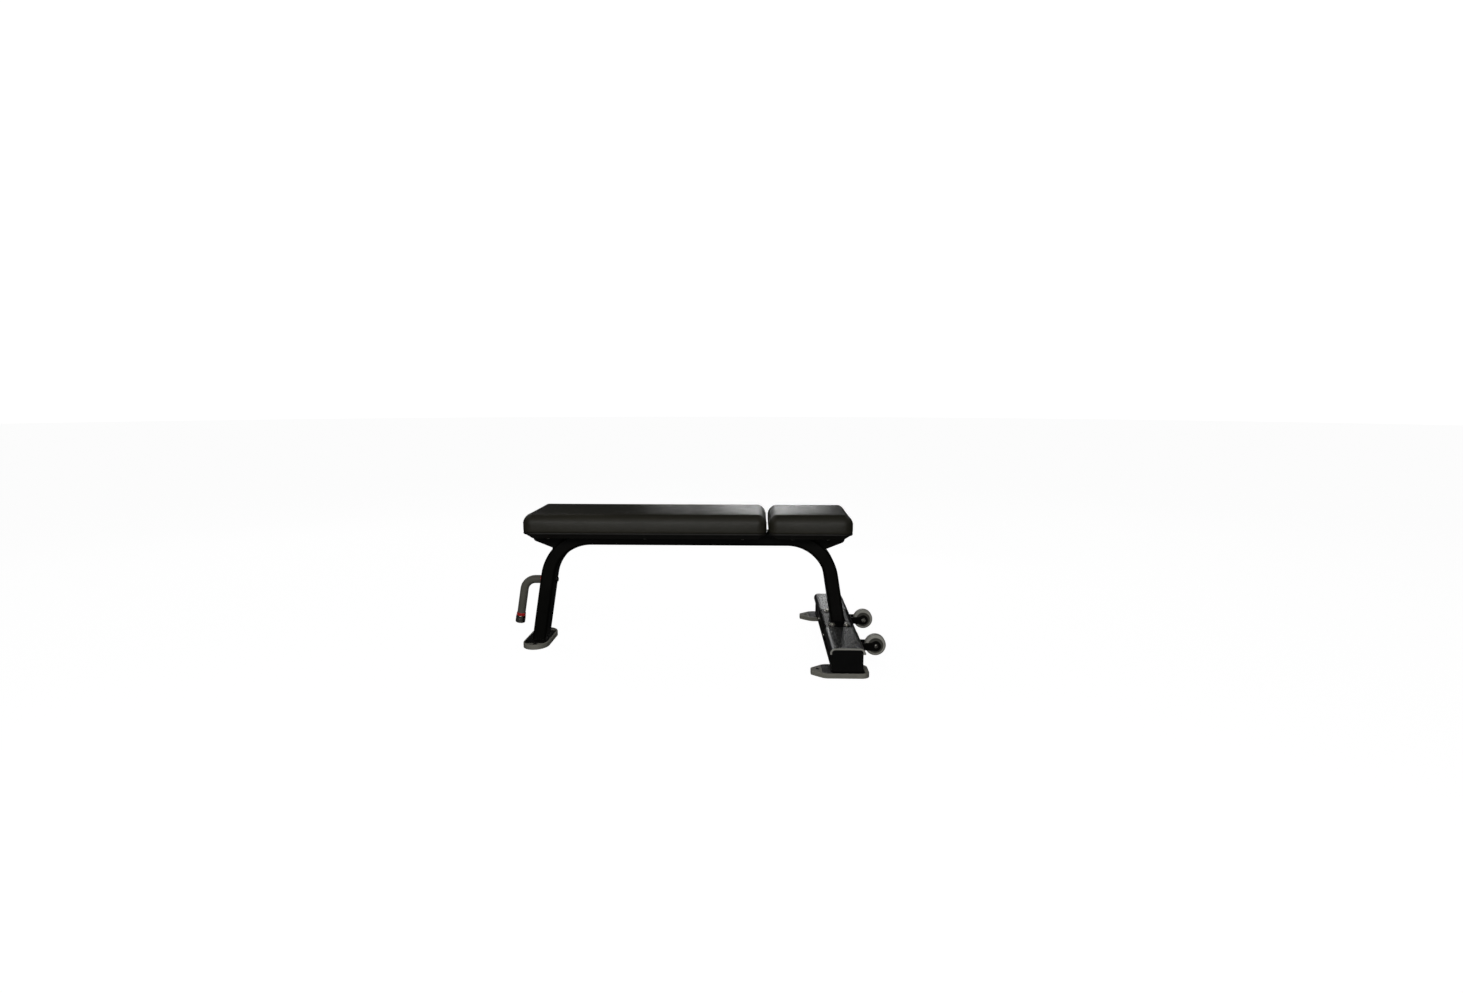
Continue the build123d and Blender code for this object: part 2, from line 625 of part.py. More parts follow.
def axle_spacers(side):
    """Thin washers between the hub and the fork arms."""
    pair = []
    for end in (-1, 1):
        washer = ring_profile(AXLE_RADIUS + HOLE_GAP, 8, 0.5)
        pair.append(turned(Pos(0, end * (FORK_HALF_INNER - 0.5)) * washer, side))
    return Compound(pair)


def axle_bolt(side):
    """Shouldered axle with its domed head on the outer arm."""
    outer = FORK_HALF_INNER + FORK_PLATE
    middle = side * WHEEL_Y
    head_range = (middle + side * outer, middle + side * (outer + 4.5))
    head = crosswise(WHEEL_X, WHEEL_Z, head_range, 6.5)
    head = fillet(head.edges().sort_by(Axis.Y)[-1 if side > 0 else 0], 2.4)
    shank_range = (middle - side * (outer + 7), middle + side * (outer + 1))
    return head + crosswise(WHEEL_X, WHEEL_Z, shank_range, AXLE_RADIUS)


def axle_nut(side):
    """Hexagon nut on the inner arm."""
    start = side * (WHEEL_Y - FORK_HALF_INNER - FORK_PLATE)
    hexagon = Pos(WHEEL_X, WHEEL_Z) * (RegularPolygon(7.5, 6) - Circle(AXLE_RADIUS + 0.05))
    return Pos(0, start, 0) * extrude(Plane.XZ * hexagon, side * 6)


# ---------------------------------------------------------------- handle

def handle_point(z):
    """Centre of the handle's leaning part at a height."""
    return HANDLE_CORNER_X - (HANDLE_Z - z) * math.tan(LEAN)


def handle_path(start_x, end_z):
    """Centreline out from the leg, round the bend and down beside it."""
    return FilletPolyline(
        (start_x, 0, HANDLE_Z), (HANDLE_CORNER_X, 0, HANDLE_Z), (handle_point(end_z), 0, end_z),
        radius=HANDLE_BEND,
    )


def handle_sleeve(start_x, end_z, outer, inner):
    """A round sleeve along the handle."""
    path = handle_path(start_x, end_z)
    start = Plane(origin=path @ 0, x_dir=(0, 1, 0), z_dir=path % 0)
    return sweep(start * (Circle(outer) - Circle(inner)), path=path)


def leaning_disc(z, length, radius):
    """A cylinder on the leaning centreline, from a height down."""
    down = (-math.sin(LEAN), 0, -math.cos(LEAN))
    place = Plane(origin=(handle_point(z), 0, z), z_dir=down)
    return extrude(place * Circle(radius), length)


LEG_SLANT = TUBE_THICK / 2 / math.cos(LEAN)
LEG_FACE_X = leg_x(-1, HANDLE_Z) - LEG_SLANT
LEG_INNER_X = leg_x(-1, HANDLE_Z) + LEG_SLANT
LEG_COLLAR = 5.0
COLLAR = 9.0
COLLAR_TOP_Z = 95.5
CAP_TOP_Z = COLLAR_TOP_Z - COLLAR * math.cos(LEAN)
CAP_LENGTH = (CAP_TOP_Z - HANDLE_END_Z) / math.cos(LEAN)


def along_x(x_range, radius):
    """A cylinder on the axis of the handle's upper end."""
    middle = (x_range[0] + x_range[1]) / 2
    return Pos(middle, 0, HANDLE_Z) * Rot(0, 90, 0) * Cylinder(radius, x_range[1] - x_range[0])


def handle_tube():
    """Steel core of the handle: its upper end is cut to the slope of the leg."""
    start_x = LEG_FACE_X + 6
    return handle_sleeve(start_x, CAP_TOP_Z - 12, HANDLE_CORE, HANDLE_CORE - 2) - leg_block(TUBE_DEPTH)


def handle_insert():
    """Threaded plug in the upper end of the handle, which the handle bolt screws into."""
    plug = along_x((LEG_FACE_X - 18, LEG_FACE_X + 6), HANDLE_CORE - 2.05) - leg_block(TUBE_DEPTH)
    return plug - along_x((LEG_FACE_X - 30, LEG_FACE_X + 10), HANDLE_BOLT + 0.1)


def handle_washer():
    """Wedge washer that squares the bolt head to the sloping leg."""
    washer = along_x((LEG_INNER_X - 6, LEG_INNER_X + 3), 9.0) - leg_block(TUBE_DEPTH)
    return washer - along_x((LEG_INNER_X - 20, LEG_INNER_X + 10), HANDLE_BOLT + HOLE_GAP)


def handle_bolt():
    """Bolt through the front leg into the handle, with a domed head on the inner side."""
    head = along_x((LEG_INNER_X + 3, LEG_INNER_X + 8), 8.0)
    head = fillet(head.edges().sort_by(Axis.X)[-1], 2.5)
    return head + along_x((LEG_FACE_X - 15, LEG_INNER_X + 4), HANDLE_BOLT)


def handle_collar_upper():
    """Red ring at the leg."""
    collar = along_x((LEG_FACE_X - LEG_COLLAR, LEG_FACE_X + 6), LEG_COLLAR_RADIUS)
    collar = collar - along_x((LEG_FACE_X - 20, LEG_FACE_X + 20), HANDLE_CORE + 0.1)
    return collar - leg_block(TUBE_DEPTH)


def handle_collar_lower():
    """Red ring between the grip and the end cap."""
    collar = leaning_disc(COLLAR_TOP_Z, COLLAR, COLLAR_RADIUS)
    collar = fillet(collar.edges(), 1.0)
    return collar - leaning_disc(COLLAR_TOP_Z + 1, COLLAR + 3, HANDLE_CORE + 0.1)


def handle_end_cap():
    """Polished metal cap with a rounded end, bored for the handle tube."""
    cap = leaning_disc(CAP_TOP_Z, CAP_LENGTH, CAP_RADIUS)
    cap = fillet(cap.edges().sort_by(Axis.Z)[0], 4.0)
    cap = fillet(cap.edges().sort_by(Axis.Z)[-1], 1.0)
    return cap - leaning_disc(CAP_TOP_Z + 1, 14, HANDLE_CORE + 0.1)


# ---------------------------------------------------------------- write the nodes

save("main_frame_tube", main_frame_tube())
save("front_gusset", gusset(-1, BEND_X[0], LONG_PAD_X[0] + 8))
save("rear_gusset", gusset(1, BEND_X[1], SHORT_PAD_X[1] - 16))

for number, bolt_at in enumerate(LONG_BOLT_X, 1):
    save(f"long_pad_bracket_{number}", pad_bracket(bolt_at))
for number, bolt_at in enumerate(SHORT_BOLT_X, 1):
    save(f"short_pad_bracket_{number}", pad_bracket(bolt_at))

save("long_pad_pan", pan(LONG_PAD_X, LONG_BOLT_X, (LONG_PAD_X[0] + 6, LONG_PAD_X[1] + 1)))
save("short_pad_pan", pan(SHORT_PAD_X, SHORT_BOLT_X, (SHORT_PAD_X[0] - 1, SHORT_PAD_X[1] - 12)))
for pad, span, bolt_at in (("long", LONG_PAD_X, LONG_BOLT_X), ("short", SHORT_PAD_X, SHORT_BOLT_X)):
    save(f"{pad}_pad_cushion", cushion(span))
    save(f"{pad}_pad_board", board(span, bolt_at))
    save(f"{pad}_pad_tee_nuts", tee_nuts(bolt_at))
    save(f"{pad}_pad_bolts", pad_bolts(bolt_at))

save("front_foot_boot", front_foot_boot())
save("front_foot_plate", front_foot_plate())
front_tip = [eyelet(FRONT_FOOT_X, sign * FRONT_HOLE_Y, TIP_FLOOR) for _, sign in SIDES]
save("front_foot_eyelets", Compound(front_tip))
rear_tip = [eyelet(REAR_HOLE_X, sign * REAR_FOOT_Y, PLATE_TOP) for _, sign in SIDES]
save("rear_foot_eyelets", Compound(rear_tip))
save("crossbar_tube", crossbar_tube())
save("saddle_bracket", saddle_bracket())
save("saddle_bolts", saddle_bolts())
save("saddle_side_screws", saddle_side_screws())
save("saddle_washers", saddle_washers())
save("saddle_rivet_nuts", saddle_rivet_nuts())

for name, sign in SIDES:
    save(f"crossbar_end_cap_{name}", end_cap(sign))
    save(f"grip_cover_{name}", grip_cover(sign))
    save(f"rear_foot_boot_{name}", rear_foot_boot(sign))
    save(f"rear_foot_plate_{name}", rear_foot_plate(sign))
    save(f"wheel_fork_{name}", wheel_fork(sign))
    save(f"wheel_fork_screws_{name}", fork_screws(sign))
    save(f"wheel_tyre_{name}", wheel_tyre(sign))
    save(f"wheel_hub_{name}", wheel_hub(sign))
    save(f"wheel_bushes_{name}", wheel_bushes(sign))
    save(f"axle_spacers_{name}", axle_spacers(sign))
    save(f"axle_bolt_{name}", axle_bolt(sign))
    save(f"axle_nut_{name}", axle_nut(sign))

save("handle_tube", handle_tube())
save("handle_insert", handle_insert())
save("handle_washer", handle_washer())
save("handle_bolt", handle_bolt())
save("handle_grip", handle_sleeve(LEG_FACE_X - LEG_COLLAR, COLLAR_TOP_Z, GRIP_RADIUS, HANDLE_CORE + 0.1))
save("handle_collar_upper", handle_collar_upper())
save("handle_collar_lower", handle_collar_lower())
save("handle_end_cap", handle_end_cap())
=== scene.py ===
"""Flat weight bench: looks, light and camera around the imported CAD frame. Metres, +Z up."""
import json
import math

import bmesh
import bpy
from mathutils import Matrix, Vector

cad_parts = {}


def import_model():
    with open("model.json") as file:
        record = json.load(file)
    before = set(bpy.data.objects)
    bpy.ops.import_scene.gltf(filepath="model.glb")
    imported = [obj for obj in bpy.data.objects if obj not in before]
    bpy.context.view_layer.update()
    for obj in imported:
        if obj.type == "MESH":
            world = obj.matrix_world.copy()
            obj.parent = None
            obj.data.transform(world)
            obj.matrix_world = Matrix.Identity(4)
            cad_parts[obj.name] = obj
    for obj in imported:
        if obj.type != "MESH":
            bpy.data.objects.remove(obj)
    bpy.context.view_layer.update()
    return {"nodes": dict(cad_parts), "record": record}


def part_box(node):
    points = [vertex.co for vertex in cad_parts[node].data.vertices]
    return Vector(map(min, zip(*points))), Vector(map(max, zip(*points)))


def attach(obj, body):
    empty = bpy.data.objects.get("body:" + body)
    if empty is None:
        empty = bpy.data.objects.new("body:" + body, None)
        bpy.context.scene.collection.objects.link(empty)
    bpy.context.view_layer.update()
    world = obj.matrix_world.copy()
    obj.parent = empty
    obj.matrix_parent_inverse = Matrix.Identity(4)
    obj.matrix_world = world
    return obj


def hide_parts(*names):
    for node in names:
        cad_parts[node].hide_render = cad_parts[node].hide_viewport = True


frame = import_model()
nodes = frame["nodes"]

MM = 0.001


# ---------------------------------------------------------------- material helpers

COLOUR_SOCKETS = slice(6, 8)   # the two colours of a Mix node that is set to RGBA
COLOUR_RESULT = 2
BEVEL_SAMPLES = 4


class Shader:
    """A small builder for one node material."""

    def __init__(self, name):
        self.material = bpy.data.materials.new(name)
        self.material.use_nodes = True
        self.tree = self.material.node_tree
        self.surface = self.tree.nodes["Principled BSDF"]
        self.place = self.add("ShaderNodeTexCoord").outputs["Object"]

    def add(self, kind, **settings):
        node = self.tree.nodes.new(kind)
        for key, value in settings.items():
            setattr(node, key, value)
        return node

    def link(self, source, target):
        self.tree.links.new(source, target)

    def put(self, node, **values):
        for key, value in values.items():
            socket = node.inputs[key.replace("_", " ")]
            if isinstance(value, bpy.types.NodeSocket):
                self.link(value, socket)
            else:
                socket.default_value = value
        return node

    def stretched(self, scale):
        """Object coordinates scaled along each axis."""
        node = self.add("ShaderNodeMapping")
        self.put(node, Vector=self.place, Scale=scale)
        return node.outputs["Vector"]

    def noise(self, scale, detail=2.0, roughness=0.5, vector=None):
        node = self.add("ShaderNodeTexNoise")
        self.put(node, Vector=vector or self.place, Scale=scale, Detail=detail, Roughness=roughness)
        return node.outputs["Fac"]

    def cells(self, scale, vector):
        """0 on the borders between cells and more towards their middles."""
        node = self.add("ShaderNodeTexVoronoi", feature="DISTANCE_TO_EDGE")
        self.put(node, Vector=vector, Scale=scale)
        return node.outputs["Distance"]

    def ramp(self, value, low, high, to_low=0.0, to_high=1.0):
        """A value carried in a straight line from one range to another."""
        node = self.add("ShaderNodeMapRange")
        self.put(node, Value=value)
        node.inputs["From Min"].default_value = low
        node.inputs["From Max"].default_value = high
        node.inputs["To Min"].default_value = to_low
        node.inputs["To Max"].default_value = to_high
        return node.outputs["Result"]

    def math(self, operation, a, b=0.5):
        node = self.add("ShaderNodeMath", operation=operation)
        for socket, value in zip(node.inputs, (a, b)):
            if isinstance(value, bpy.types.NodeSocket):
                self.link(value, socket)
            else:
                socket.default_value = value
        return node.outputs["Value"]

    def blend(self, amount, first, second):
        node = self.add("ShaderNodeMix", data_type="RGBA")
        self.link(amount, node.inputs["Factor"])
        for socket, colour in zip(node.inputs[COLOUR_SOCKETS], (first, second)):
            if isinstance(colour, bpy.types.NodeSocket):
                self.link(colour, socket)
            else:
                socket.default_value = (*colour, 1)
        return node.outputs[COLOUR_RESULT]

    def soft_edges(self, radius):
        """A normal that rounds hard edges by a radius in metres."""
        node = self.add("ShaderNodeBevel", samples=BEVEL_SAMPLES)
        node.inputs["Radius"].default_value = radius
        return node.outputs["Normal"]

    def worn(self, normal):
        """1 along hard edges and 0 on flats, from the softened normal."""
        geometry = self.add("ShaderNodeNewGeometry")
        node = self.add("ShaderNodeVectorMath", operation="DOT_PRODUCT")
        self.link(geometry.outputs["Normal"], node.inputs[0])
        self.link(normal, node.inputs[1])
        return self.ramp(node.outputs["Value"], 0.99, 0.9)

    def facing(self, axis):
        """1 on faces square to an object axis and 0 elsewhere."""
        place = next(node for node in self.tree.nodes if node.type == "TEX_COORD")
        split = self.add("ShaderNodeSeparateXYZ")
        self.link(place.outputs["Normal"], split.inputs[0])
        return self.ramp(self.math("ABSOLUTE", split.outputs[axis]), 0.85, 0.97)

    def bump(self, height, distance, strength=1.0, normal=None):
        node = self.add("ShaderNodeBump")
        self.put(node, Height=height, Distance=distance, Strength=strength)
        if normal:
            self.link(normal, node.inputs["Normal"])
        return node.outputs["Normal"]

    def finish(self, colour, roughness, normal, **fixed):
        """Wire up the surface; the fixed values go on its own sockets."""
        self.put(self.surface, Base_Color=colour, Roughness=roughness, Normal=normal, **fixed)
        return self.material


def shade(colour, factor):
    return tuple(channel * factor for channel in colour)


# ---------------------------------------------------------------- materials

def powder_coat(name, colour, grain, roughness, shine):
    """Black powder coat: fine orange peel, a little dust, lighter worn edges."""
    s = Shader(name)
    edge = s.soft_edges(0.9 * MM)
    wear = s.math("MULTIPLY", s.worn(edge), s.ramp(s.noise(60, 4), 0.42, 0.62))
    dust = s.ramp(s.noise(9, 5, 0.6), 0.4, 0.75)
    tone = s.blend(dust, colour, shade(colour, 1.35))
    tone = s.blend(s.math("MULTIPLY", wear, 0.5), tone, shade(colour, 4.0))
    speck = s.math("ADD", s.noise(1700, 3), s.math("MULTIPLY", s.noise(520, 2), 0.8))
    rough = s.ramp(s.noise(34, 4), 0.3, 0.7, roughness - 0.05, roughness + 0.07)
    return s.finish(tone, rough, s.bump(speck, grain, 1.0, edge), Specular_IOR_Level=shine)


def pad_vinyl():
    """Tight grained upholstery vinyl: pebbles about a millimetre across, with fine creases."""
    s = Shader("pad_vinyl")
    warp = s.add("ShaderNodeVectorMath", operation="ADD")
    drift = s.add("ShaderNodeTexNoise")
    s.put(drift, Vector=s.place, Scale=240.0, Detail=2.0)
    shrink = s.add("ShaderNodeVectorMath", operation="SCALE")
    s.link(drift.outputs["Color"], shrink.inputs[0])
    shrink.inputs["Scale"].default_value = 0.9 * MM
    s.link(s.place, warp.inputs[0])
    s.link(shrink.outputs["Vector"], warp.inputs[1])
    grain = s.cells(760, warp.outputs["Vector"])
    pebble = s.ramp(grain, 0.0, 0.22)
    pores = s.noise(2600, 2)
    height = s.math("ADD", pebble, s.math("MULTIPLY", pores, 0.35))
    patch = s.ramp(s.noise(5, 4, 0.55), 0.35, 0.7)
    base = (0.04, 0.0375, 0.0265)
    tone = s.blend(patch, base, shade(base, 1.18))
    # Painted shade: the valleys between the pebbles are coloured darker, as if shade fell in them.
    tone = s.blend(s.ramp(grain, 0.06, 0.0), tone, shade(base, 0.62))
    rough = s.ramp(s.noise(22, 4), 0.3, 0.7, 0.34, 0.42)
    return s.finish(tone, rough, s.bump(height, 0.12 * MM, 0.75), Specular_IOR_Level=0.42)


def moulded(name, colour, roughness=0.5, grain=900, shine=0.5):
    """Moulded plastic with a fine spark-eroded texture."""
    s = Shader(name)
    edge = s.soft_edges(0.6 * MM)
    speck = s.noise(grain, 3)
    tone = s.blend(s.ramp(s.noise(14, 4), 0.35, 0.7), colour, shade(colour, 1.25))
    rough = s.ramp(s.noise(40, 3), 0.3, 0.7, roughness - 0.06, roughness + 0.06)
    return s.finish(tone, rough, s.bump(speck, 0.05 * MM, 1.0, edge), Specular_IOR_Level=shine)


def rubber(name, colour, roughness=0.62, grain=620):
    """Matt moulded rubber: faint mottling, a fine skin and scuffs on the edges."""
    s = Shader(name)
    edge = s.soft_edges(0.7 * MM)
    mottle = s.ramp(s.noise(26, 5, 0.6), 0.32, 0.7)
    tone = s.blend(mottle, shade(colour, 0.88), shade(colour, 1.1))
    scuff = s.math("MULTIPLY", s.worn(edge), s.ramp(s.noise(90, 3), 0.45, 0.6))
    tone = s.blend(s.math("MULTIPLY", scuff, 0.35), tone, shade(colour, 1.6))
    rough = s.ramp(s.noise(60, 3), 0.3, 0.7, roughness - 0.07, roughness + 0.08)
    skin = s.bump(s.noise(grain, 4), 0.07 * MM, 1.0, edge)
    return s.finish(tone, rough, skin, Specular_IOR_Level=0.2)


def light_metal_cover():
    """Dark anodised extrusion, brushed lengthwise, with bare sawn ends."""
    s = Shader("cover_aluminium")
    edge = s.soft_edges(0.4 * MM)
    lines = s.noise(1.0, 4, 0.65, s.stretched((1400, 9, 1400)))
    tone = s.blend(s.ramp(lines, 0.3, 0.7), (0.058, 0.059, 0.061), (0.1, 0.101, 0.103))
    rub = s.math("MULTIPLY", s.worn(edge), s.ramp(s.noise(80, 4), 0.38, 0.6))
    tone = s.blend(s.math("MULTIPLY", rub, 0.35), tone, (0.42, 0.42, 0.42))
    tone = s.blend(s.facing("Y"), tone, (0.72, 0.71, 0.64))
    sawn = s.math("MULTIPLY", s.facing("Y"), 0.25)
    rough = s.math("ADD", s.ramp(lines, 0.3, 0.7, 0.26, 0.38), sawn)
    return s.finish(tone, rough, s.bump(lines, 0.02 * MM, 1.0, edge), Metallic=0.85)


def sewing_thread():
    """Twisted black sewing thread."""
    s = Shader("thread")
    twist = s.noise(2600, 2)
    tone = s.blend(twist, (0.01, 0.01, 0.009), (0.035, 0.034, 0.03))
    return s.finish(tone, 0.7, s.bump(twist, 0.04 * MM))


def worn_steel(name, colour, roughness):
    """Dark steel with an even fine texture, brighter where its edges have rubbed."""
    s = Shader(name)
    edge = s.soft_edges(0.5 * MM)
    lines = s.noise(1.0, 4, 0.65, s.stretched((300, 300, 300)))
    tone = s.blend(s.ramp(lines, 0.3, 0.7), shade(colour, 0.82), shade(colour, 1.18))
    rub = s.math("MULTIPLY", s.worn(edge), s.ramp(s.noise(80, 4), 0.38, 0.6))
    tone = s.blend(s.math("MULTIPLY", rub, 0.4), tone, shade(colour, 2.2))
    rough = s.ramp(lines, 0.3, 0.7, roughness - 0.06, roughness + 0.08)
    return s.finish(tone, rough, s.bump(lines, 0.02 * MM, 1.0, edge), Metallic=1.0)


def plated(name, colour, roughness):
    """Bright plating or polish with faint smears."""
    s = Shader(name)
    edge = s.soft_edges(0.4 * MM)
    smear = s.noise(120, 4)
    tone = s.blend(s.ramp(smear, 0.35, 0.7), shade(colour, 0.93), colour)
    rough = s.ramp(smear, 0.3, 0.7, roughness * 0.75, roughness * 1.4)
    return s.finish(tone, rough, s.bump(s.noise(1500, 2), 0.01 * MM, 1.0, edge), Metallic=1.0)


def plywood():
    """Thin layers seen on edge, with long grain on the faces."""
    s = Shader("plywood")
    layers = s.add("ShaderNodeTexWave", wave_type="BANDS", bands_direction="Z")
    s.put(layers, Vector=s.place, Scale=105.0, Distortion=0.6, Detail=2.0)
    fibre = s.noise(1.0, 5, 0.6, s.stretched((18, 420, 420)))
    grain = s.math("ADD", s.math("MULTIPLY", layers.outputs["Fac"], 0.45), s.math("MULTIPLY", fibre, 0.55))
    tone = s.blend(s.ramp(grain, 0.25, 0.75), (0.29, 0.17, 0.08), (0.56, 0.39, 0.22))
    return s.finish(tone, s.ramp(fibre, 0.2, 0.8, 0.6, 0.8), s.bump(fibre, 0.1 * MM))


materials = {
    "pad_vinyl": pad_vinyl(),
    "thread": sewing_thread(),
    "plywood": plywood(),
    "moulded_pan": moulded("moulded_pan", (0.02, 0.0192, 0.0165)),
    "black_plastic": moulded("black_plastic", (0.0045, 0.0044, 0.004), grain=700, shine=0.16),
    "cover_aluminium": light_metal_cover(),
    "grey_rubber": rubber("grey_rubber", (0.4, 0.39, 0.335)),
    "wheel_tyre": rubber("wheel_tyre", (0.66, 0.65, 0.58), 0.5),
    "wheel_hub": moulded("wheel_hub", (0.12, 0.118, 0.1), 0.45),
    "bush_plastic": moulded("bush_plastic", (0.68, 0.66, 0.6)),
    "grip_rubber": rubber("grip_rubber", (0.21, 0.205, 0.172), 0.5, 900),
    "red_collar": moulded("red_collar", (0.75, 0.03, 0.03), 0.3),
    "polished_cap": plated("polished_cap", (0.8, 0.79, 0.68), 0.24),
    "saddle_steel": powder_coat("saddle_steel", (0.004, 0.0041, 0.0044), 0.03 * MM, 0.3, 0.035),
    "blackened_steel": worn_steel("blackened_steel", (0.035, 0.034, 0.031), 0.42),
    "zinc_fasteners": plated("zinc_fasteners", (0.66, 0.64, 0.58), 0.28),
    "frame_steel": powder_coat("frame_steel", (0.0048, 0.0046, 0.0036), 0.06 * MM, 0.42, 0.13),
}


def dress(piece, slot_name):
    """Give a piece one material."""
    piece.data.materials.clear()
    piece.data.materials.append(materials[slot_name])


for row in frame["record"]["subparts"]:
    dress(nodes[row["node"]], row["material_slot"])


# ---------------------------------------------------------------- mesh helpers

def add_object(name, data):
    item = bpy.data.objects.new(name, data)
    bpy.context.scene.collection.objects.link(item)
    return item


def smooth_object(name, mesh):
    """Turn a bmesh into a smooth-shaded object."""
    bmesh.ops.remove_doubles(mesh, verts=mesh.verts, dist=0.02 * MM)
    bmesh.ops.recalc_face_normals(mesh, faces=mesh.faces)
    data = bpy.data.meshes.new(name)
    mesh.to_mesh(data)
    mesh.free()
    for face in data.polygons:
        face.use_smooth = True
    return add_object(name, data)


def tube(mesh, rings):
    """Faces between successive rings of points, closed at both ends."""
    for first, second in zip(rings, rings[1:]):
        for index in range(len(first)):
            after = (index + 1) % len(first)
            mesh.faces.new((first[index], first[after], second[after], second[index]))
    mesh.faces.new(rings[0][::-1])
    mesh.faces.new(rings[-1])


def apply_modifiers(piece):
    """Replace a piece's mesh by what its modifiers make of it."""
    graph = bpy.context.evaluated_depsgraph_get()
    made = bpy.data.meshes.new_from_object(piece.evaluated_get(graph))
    piece.modifiers.clear()
    piece.data = made


def box_of(node):
    """The low and high corner of a CAD node."""
    return tuple(Vector(corner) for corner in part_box(node))


# ---------------------------------------------------------------- cushions

PAD_CORNER = 31 * MM
CREASE_INSET = 21.5 * MM       # where the flat top meets the rolled edge
SIDE_TOP = 33 * MM             # height of the upper seam above the cushion's base
CROWN = 1.6 * MM
PULL_IN = 1.1 * MM             # how far the sides draw in between their corners
SWELL_CAP = 1.0 * MM           # the furthest that the simulated foam pushes the vinyl
SWELL_FRAMES = 20
STILL = 1e-7                   # a shorter move than this counts as none
CREASE_DROP = 0.2 * MM
QUAD = 9 * MM
CORNER_STEPS = 8
ROLL_STEPS = 7
ROLL_START, ROLL_END = math.radians(63), math.radians(14)
POCKET_INSET = 7.6 * MM        # the board's pocket in the underside
POCKET_ROOF = 5.1 * MM
FOLD_DEPTH = 0.45 * MM
STITCH_DROP = 3.0 * MM         # stitches run this far under the upper seam
STITCH_PITCH = 4.4 * MM
STITCH_COUNTS = (40, 16)       # how finely the seam's straight runs are followed


def roll_rings(height):
    """(inset, height) down the rounded edge, from the crease to the upper seam."""
    rise = height - SIDE_TOP
    spread_in = math.cos(ROLL_END) - math.cos(ROLL_START)
    spread_up = math.sin(ROLL_START) - math.sin(ROLL_END)
    rings = []
    for index in range(1, ROLL_STEPS + 1):
        turn = ROLL_START + (ROLL_END - ROLL_START) * index / ROLL_STEPS
        across = (math.cos(turn) - math.cos(ROLL_START)) / spread_in
        down = (math.sin(ROLL_START) - math.sin(turn)) / spread_up
        rings.append((CREASE_INSET * (1 - across) + 0.5 * MM * across, height - rise * down))
    return rings


def pad_rings(height):
    """(inset, height above the base) from the top's middle down to the board's pocket."""
    top = [(PAD_CORNER, CROWN * 0.5), (27 * MM, CROWN * 0.35), (24 * MM, CROWN * 0.15), (22.2 * MM, 0)]
    top += [(CREASE_INSET, -CREASE_DROP)]
    rings = [(inset, height + lift) for inset, lift in top]
    rings += roll_rings(height)
    rings += [(1.1 * MM, SIDE_TOP - 0.5 * MM), (0.6 * MM, SIDE_TOP - 1.1 * MM)]
    rings += [(0.1 * MM, SIDE_TOP - 4 * MM), (0, SIDE_TOP - 11 * MM), (0, 16 * MM), (0.1 * MM, 9 * MM)]
    hem = [(0.4 * MM, 4 * MM), (1.0 * MM, 1.4 * MM), (2.4 * MM, 0.15 * MM)]
    hem += [(POCKET_INSET, 0.15 * MM), (POCKET_INSET, POCKET_ROOF), (PAD_CORNER, POCKET_ROOF)]
    return rings + hem


def ring_points(low, high, inset, z, counts):
    """Points round a rounded rectangle whose straight sides draw in a little."""
    radius = PAD_CORNER - inset
    left, right = low.x + PAD_CORNER, high.x - PAD_CORNER
    front, back = low.y + PAD_CORNER, high.y - PAD_CORNER
    corners = ((right, front, -90), (right, back, 0), (left, back, 90), (left, front, 180))
    pull = PULL_IN * min(1.0, (z - low.z) / SIDE_TOP) if radius else 0
    points = []
    for index, (x, y, start) in enumerate(corners):
        for step in range(CORNER_STEPS + 1):
            turn = math.radians(start + 90 * step / CORNER_STEPS)
            points.append(Vector((x + radius * math.cos(turn), y + radius * math.sin(turn), z)))
        next_x, next_y, _ = corners[(index + 1) % 4]
        turn = math.radians(start + 90)
        outward = Vector((math.cos(turn), math.sin(turn), 0))
        begin = points[-1].copy()
        end = Vector((next_x, next_y, z)) + radius * outward
        count = counts[(index + 1) % 2]
        for step in range(1, count):
            along = step / count
            points.append(begin.lerp(end, along) - pull * (1 - (2 * along - 1) ** 4) * outward)
    return points


def flat_grid(mesh, low, high, z, counts, crown):
    """A slightly crowned grid inside the innermost ring."""
    left, right = low.x + PAD_CORNER, high.x - PAD_CORNER
    front, back = low.y + PAD_CORNER, high.y - PAD_CORNER
    rows = []
    for j in range(counts[1] + 1):
        v = j / counts[1]
        row = []
        for i in range(counts[0] + 1):
            u = i / counts[0]
            swell = (1 - (2 * u - 1) ** 4) * (1 - (2 * v - 1) ** 4)
            place = (left + (right - left) * u, front + (back - front) * v, z + crown * swell)
            row.append(mesh.verts.new(place))
        rows.append(row)
    for j in range(counts[1]):
        for i in range(counts[0]):
            mesh.faces.new((rows[j][i], rows[j][i + 1], rows[j + 1][i + 1], rows[j + 1][i]))


def pad_shell(name, low, high):
    """The closed pad before it is swollen."""
    spans = (high.x - low.x - 2 * PAD_CORNER, high.y - low.y - 2 * PAD_CORNER)
    counts = [max(4, round(span / QUAD)) for span in spans]
    rings = pad_rings(high.z - low.z)
    mesh = bmesh.new()
    previous = None
    for inset, up in rings:
        ring = [mesh.verts.new(point) for point in ring_points(low, high, inset, low.z + up, counts)]
        if previous:
            for index in range(len(ring)):
                after = (index + 1) % len(ring)
                mesh.faces.new((previous[index], ring[index], ring[after], previous[after]))
        previous = ring
    flat_grid(mesh, low, high, low.z + rings[0][1], counts, CROWN * 0.5)
    flat_grid(mesh, low, high, low.z + rings[-1][1], counts, 0.0)
    return smooth_object(name, mesh)


